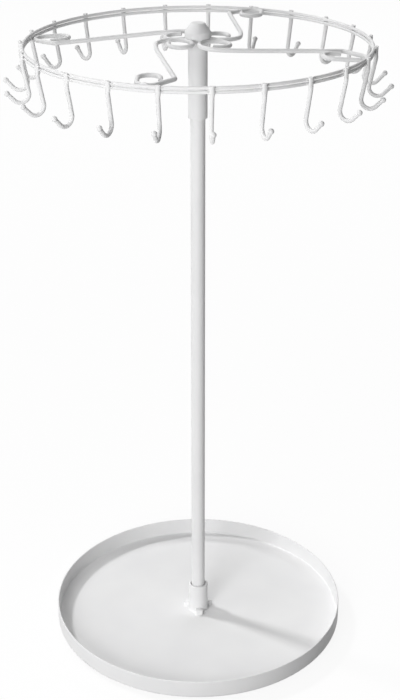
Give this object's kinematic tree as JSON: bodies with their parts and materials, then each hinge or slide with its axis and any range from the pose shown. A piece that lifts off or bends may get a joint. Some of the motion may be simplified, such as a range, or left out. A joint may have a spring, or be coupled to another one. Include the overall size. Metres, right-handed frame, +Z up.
{
  "type": "jewelry display rack",
  "caption": "Spinning jewellery rack: a wire ring of ball-tipped hooks on scrolled arms turns on a thin pole above a round shallow tray.",
  "frame": {"origin": "on the pole's axis, on the surface that the rack stands on", "axes": "+Z up the pole; -Y towards the picture's camera, +X to the picture's right"},
  "size_m": [0.2425, 0.2428, 0.438],
  "materials": {
    "white_coat": "smooth white powder coat, slightly glossy",
    "rubber": "grey rubber",
    "steel": "zinc-plated steel",
    "bearing_steel": "polished bearing steel",
    "bush_plastic": "natural nylon"
  },
  "bodies": {
    "base": {"tray": "white_coat", "foot_pads": "rubber", "base_washer": "steel", "base_screw": "steel", "pole_socket": "white_coat", "pole": "white_coat", "pole_insert": "steel", "pivot_plug": "steel", "thrust_ball": "bearing_steel"},
    "carousel": {"sleeve": "white_coat", "lower_bush": "bush_plastic", "upper_bush": "bush_plastic", "cap": "white_coat", "upper_ring": "white_coat", "lower_ring": "white_coat", "scroll_arm_1": "white_coat", "scroll_arm_2": "white_coat", "scroll_arm_3": "white_coat", "scroll_arm_4": "white_coat", "hook_01": "white_coat", "hook_02": "white_coat", "hook_03": "white_coat", "hook_04": "white_coat", "hook_05": "white_coat", "hook_06": "white_coat", "hook_07": "white_coat", "hook_08": "white_coat", "hook_09": "white_coat", "hook_10": "white_coat", "hook_11": "white_coat", "hook_12": "white_coat", "hook_13": "white_coat", "hook_14": "white_coat", "hook_15": "white_coat", "hook_16": "white_coat", "hook_17": "white_coat", "hook_18": "white_coat", "hook_19": "white_coat", "hook_20": "white_coat", "hook_21": "white_coat", "hook_22": "white_coat", "hook_23": "white_coat"}
  },
  "joints": [
    {"name": "carousel_spin", "type": "hinge", "parent": "base", "child": "carousel", "pos_m": [0, 0, 0.4], "axis": [0, 0, 1], "continuous": true}
  ]
}
